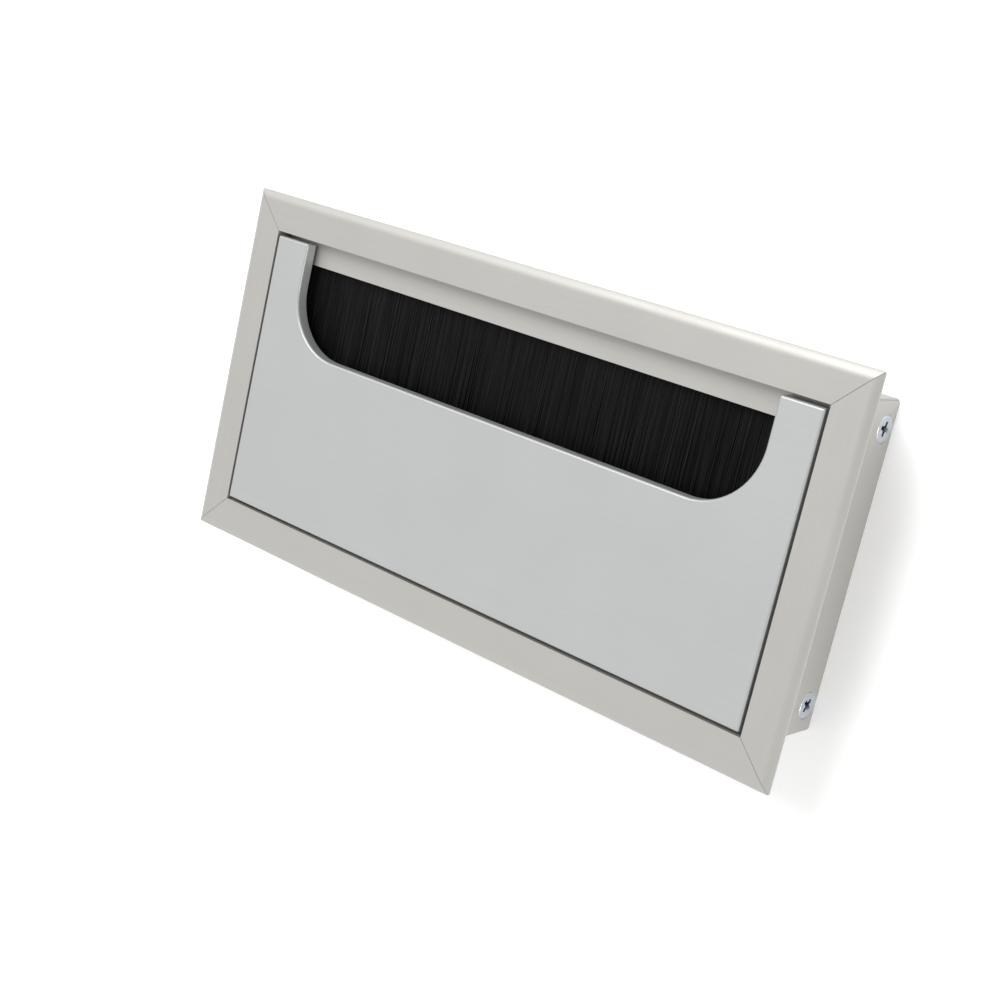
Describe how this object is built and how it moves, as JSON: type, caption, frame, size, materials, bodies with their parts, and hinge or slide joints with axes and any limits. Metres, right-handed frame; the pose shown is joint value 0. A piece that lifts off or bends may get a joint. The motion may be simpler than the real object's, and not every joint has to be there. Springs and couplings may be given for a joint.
{
  "type": "cable grommet",
  "caption": "Rectangular mitred aluminium desk cable grommet: a hinged lid with a wide cable notch, closed from below by a bristle strip.",
  "frame": {"origin": "centre of the body's lower edge, where the face-up part stands on a table", "axes": "+X along the long side, +Y towards the notched side, +Z out of the visible face; the desktop is at z = 22.8 mm"},
  "size_m": [0.16, 0.08, 0.0238],
  "materials": {
    "frame_aluminium": "satin powder-coated extrusion, warm light grey",
    "lid_aluminium": "fine satin silver",
    "zinc_screws": "bright zinc plate",
    "galvanised_steel": "galvanised",
    "pin_steel": "ground steel",
    "nylon": "black nylon",
    "felt": "thin black felt",
    "bristle_nylon": "black nylon bristles"
  },
  "bodies": {
    "frame": {"rear_rail": "frame_aluminium", "front_rail": "frame_aluminium", "left_end_rail": "frame_aluminium", "right_end_rail": "frame_aluminium", "corner_key_left_rear": "galvanised_steel", "corner_key_left_front": "galvanised_steel", "corner_key_right_rear": "galvanised_steel", "corner_key_right_front": "galvanised_steel", "frame_screw_left_rear": "zinc_screws", "frame_screw_left_front": "zinc_screws", "frame_screw_right_rear": "zinc_screws", "frame_screw_right_front": "zinc_screws", "hinge_bush_left": "nylon", "hinge_bush_right": "nylon", "lid_pad_left": "felt", "lid_pad_right": "felt", "brush_channel": "galvanised_steel", "brush_core_wire": "galvanised_steel", "brush_bristles": "bristle_nylon"},
    "lid_leaf": {"lid": "lid_aluminium", "hinge_pin_left": "pin_steel", "hinge_pin_right": "pin_steel"}
  },
  "joints": [
    {"name": "lid_hinge", "type": "hinge", "parent": "frame", "child": "lid_leaf", "pos_m": [0, -0.02515, 0.0212], "axis": [1, 0, 0], "range_deg": [0, 135]}
  ]
}
